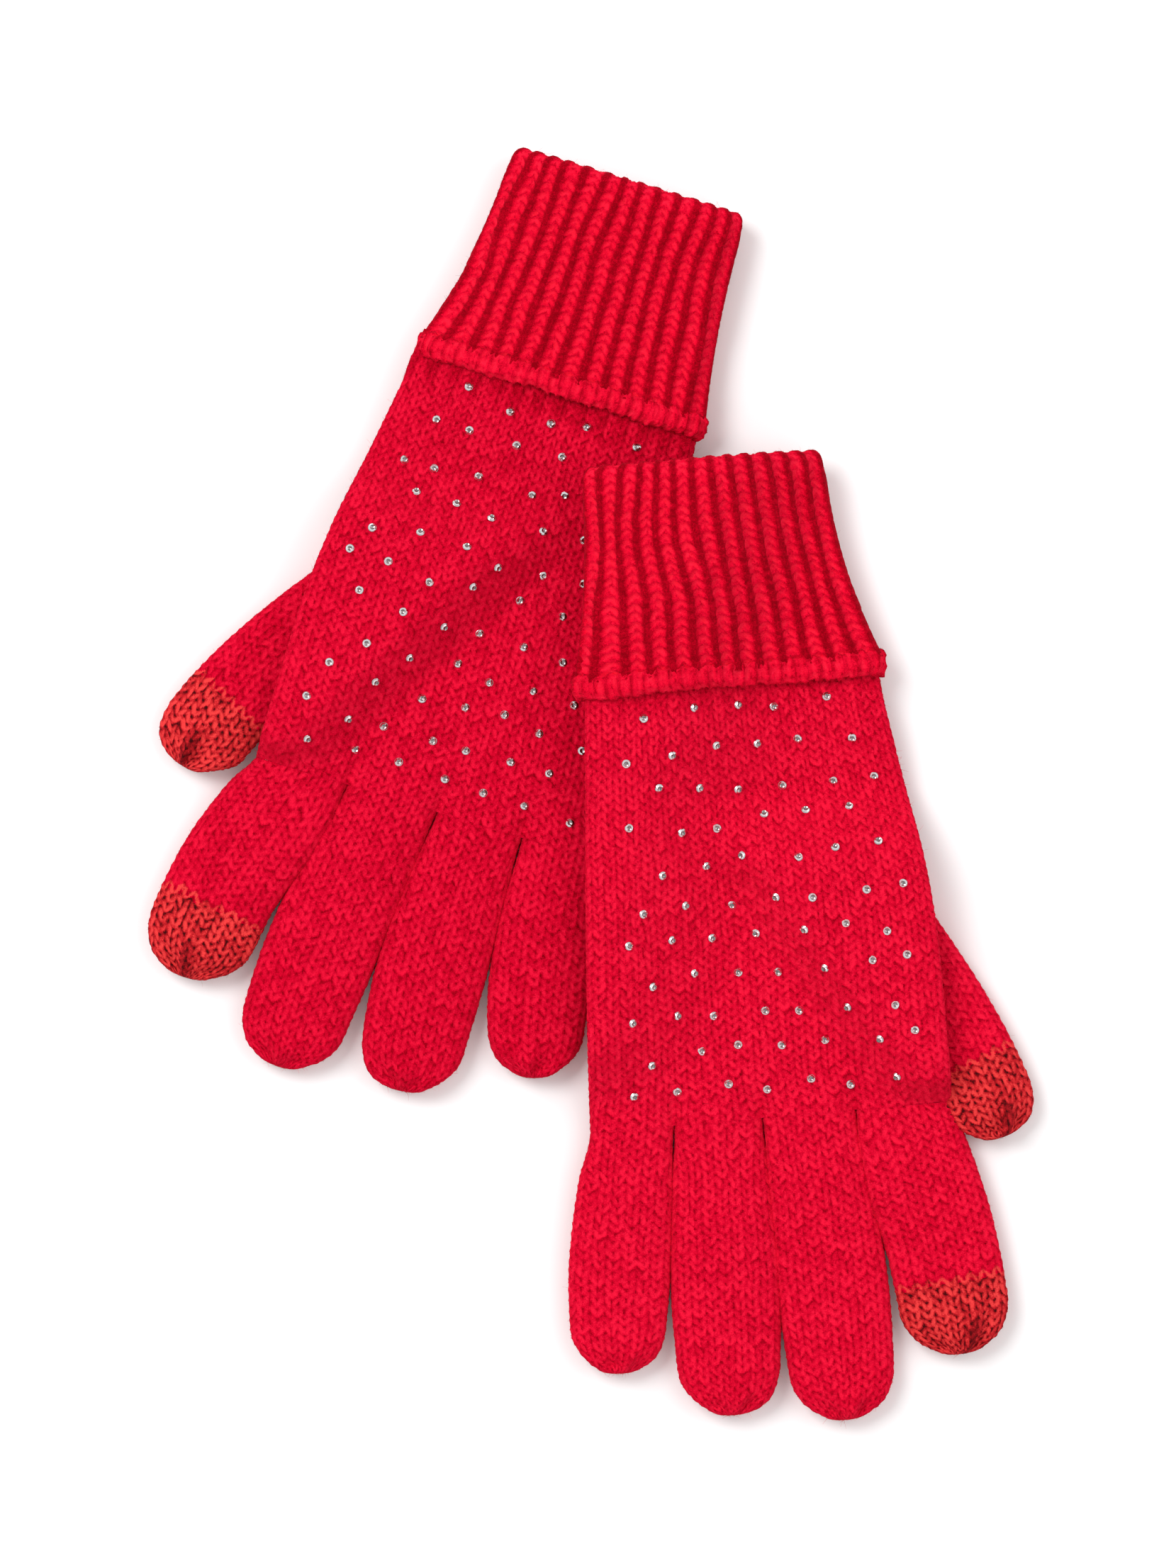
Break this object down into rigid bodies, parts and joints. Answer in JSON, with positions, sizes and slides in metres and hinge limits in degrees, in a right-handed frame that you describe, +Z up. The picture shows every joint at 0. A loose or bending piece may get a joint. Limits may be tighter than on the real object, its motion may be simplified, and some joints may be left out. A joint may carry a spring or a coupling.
{
  "type": "knitted touchscreen gloves",
  "caption": "Pair of knitted gloves with turned-back ribbed cuffs, conductive thumb and index tips and small stones on the backs.",
  "frame": {"origin": "centre of the bounding box of both gloves, on the plane they lie on", "axes": "+Y runs along the length of the pair, from the fingertips to the cuffs; +X runs across the pair, to the right glove; +Z up from the table, out of the backs of the hands"},
  "size_m": [0.2352, 0.3354, 0.03],
  "materials": {
    "red_knit": "soft brushed stockinette knit",
    "red_rib": "soft ribbed knit",
    "touch_knit": "smooth conductive yarn knit",
    "crystal": "faceted clear",
    "stone_foil": "bright foil"
  },
  "bodies": {
    "left_glove": {"left_hand": "red_knit", "left_cuff": "red_rib", "left_cuff_turnback": "red_rib", "left_cuff_hem": "red_rib", "left_crystals": "crystal", "left_crystal_pads": "stone_foil"},
    "left_little_finger_body": {"left_little_finger": "red_knit"},
    "left_ring_finger_body": {"left_ring_finger": "red_knit"},
    "left_middle_finger_body": {"left_middle_finger": "red_knit"},
    "left_index_finger_body": {"left_index_finger": "red_knit", "left_index_touch_tip": "touch_knit"},
    "left_thumb_body": {"left_thumb": "red_knit", "left_thumb_touch_tip": "touch_knit"},
    "right_glove": {"right_hand": "red_knit", "right_cuff": "red_rib", "right_cuff_turnback": "red_rib", "right_cuff_hem": "red_rib", "right_crystals": "crystal", "right_crystal_pads": "stone_foil"},
    "right_little_finger_body": {"right_little_finger": "red_knit"},
    "right_ring_finger_body": {"right_ring_finger": "red_knit"},
    "right_middle_finger_body": {"right_middle_finger": "red_knit"},
    "right_index_finger_body": {"right_index_finger": "red_knit", "right_index_touch_tip": "touch_knit"},
    "right_thumb_body": {"right_thumb": "red_knit", "right_thumb_touch_tip": "touch_knit"}
  },
  "joints": [
    {"name": "left_little_finger_bend", "type": "hinge", "parent": "left_glove", "child": "left_little_finger_body", "pos_m": [-0.00818, -0.01764, 0.0048], "axis": [0.9568, -0.2907, 0], "range_deg": [0, 90]},
    {"name": "left_ring_finger_bend", "type": "hinge", "parent": "left_glove", "child": "left_ring_finger_body", "pos_m": [-0.03009, -0.01098, 0.0048], "axis": [0.9568, -0.2907, 0], "range_deg": [0, 90]},
    {"name": "left_middle_finger_bend", "type": "hinge", "parent": "left_glove", "child": "left_middle_finger_body", "pos_m": [-0.05296, -0.00404, 0.0048], "axis": [0.9568, -0.2907, 0], "range_deg": [0, 90]},
    {"name": "left_index_finger_bend", "type": "hinge", "parent": "left_glove", "child": "left_index_finger_body", "pos_m": [-0.07745, 0.00341, 0.0048], "axis": [0.9568, -0.2907, 0], "range_deg": [0, 90]},
    {"name": "left_thumb_spread", "type": "hinge", "parent": "left_glove", "child": "left_thumb_body", "pos_m": [-0.05908, 0.05217, 0.0044], "axis": [0, 0, -1], "range_deg": [0, 45]},
    {"name": "right_glove_lift", "type": "slide", "parent": "left_glove", "child": "right_glove", "axis": [0, 0, 1], "range_m": [0, 0.06]},
    {"name": "right_little_finger_bend", "type": "hinge", "parent": "right_glove", "child": "right_little_finger_body", "pos_m": [0.00977, -0.09151, 0.0048], "axis": [0.996, 0.0898, 0], "range_deg": [0, 90]},
    {"name": "right_ring_finger_bend", "type": "hinge", "parent": "right_glove", "child": "right_ring_finger_body", "pos_m": [0.03258, -0.08945, 0.0048], "axis": [0.996, 0.0898, 0], "range_deg": [0, 90]},
    {"name": "right_middle_finger_bend", "type": "hinge", "parent": "right_glove", "child": "right_middle_finger_body", "pos_m": [0.05638, -0.0873, 0.0048], "axis": [0.996, 0.0898, 0], "range_deg": [0, 90]},
    {"name": "right_index_finger_bend", "type": "hinge", "parent": "right_glove", "child": "right_index_finger_body", "pos_m": [0.08188, -0.08501, 0.0048], "axis": [0.996, 0.0898, 0], "range_deg": [0, 90]},
    {"name": "right_thumb_spread", "type": "hinge", "parent": "right_glove", "child": "right_thumb_body", "pos_m": [0.07382, -0.03352, 0.0044], "axis": [0, 0, 1], "range_deg": [0, 45]}
  ]
}
